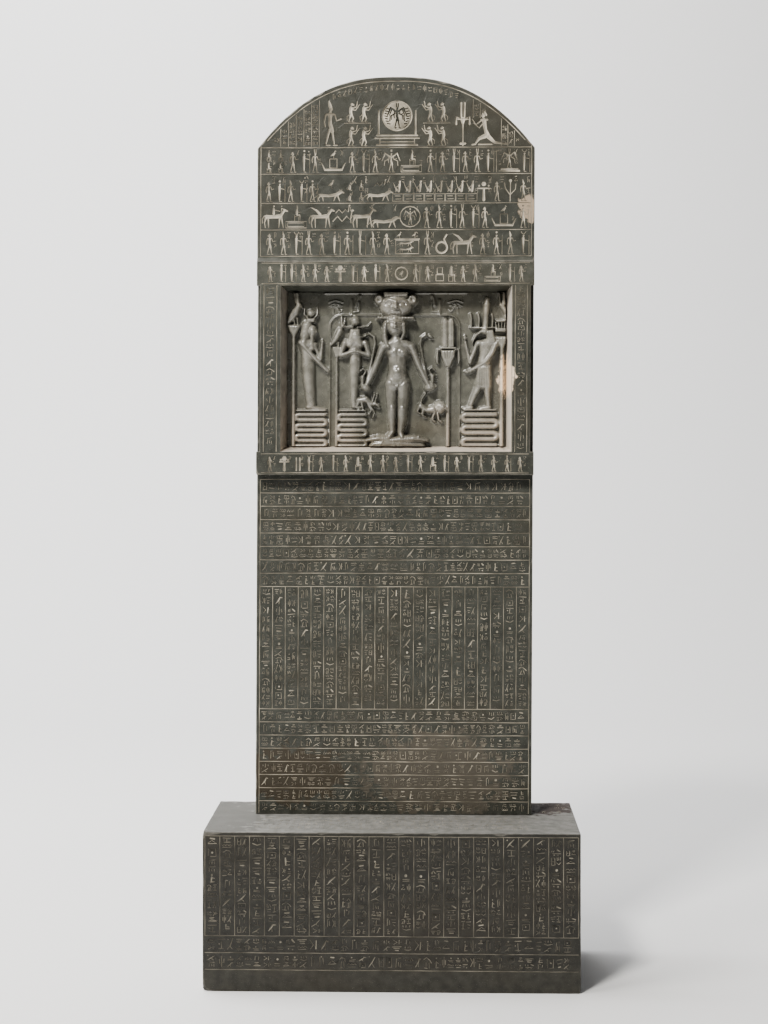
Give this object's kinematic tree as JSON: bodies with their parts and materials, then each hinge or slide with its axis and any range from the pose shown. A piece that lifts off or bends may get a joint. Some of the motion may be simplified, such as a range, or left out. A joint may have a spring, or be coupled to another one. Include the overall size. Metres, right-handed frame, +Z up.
{
  "type": "carved stone stele",
  "caption": "Round-topped dark stone stele with a sunk niche of high-relief figures and ruled incised registers, standing on a rectangular stone plinth.",
  "frame": {"origin": "centre of the plinth's underside", "axes": "+Z up along the slab, -Y out of the carved front, +X to a viewer's right"},
  "size_m": [0.335, 0.144, 0.824],
  "materials": {
    "slab_stone": "dark green-grey stone, honed, with paler dusty incisions",
    "plinth_stone": "dark green-grey stone, honed front, paler abraded top"
  },
  "bodies": {
    "root": {"stele_slab": "slab_stone", "plinth": "plinth_stone"}
  },
  "joints": []
}
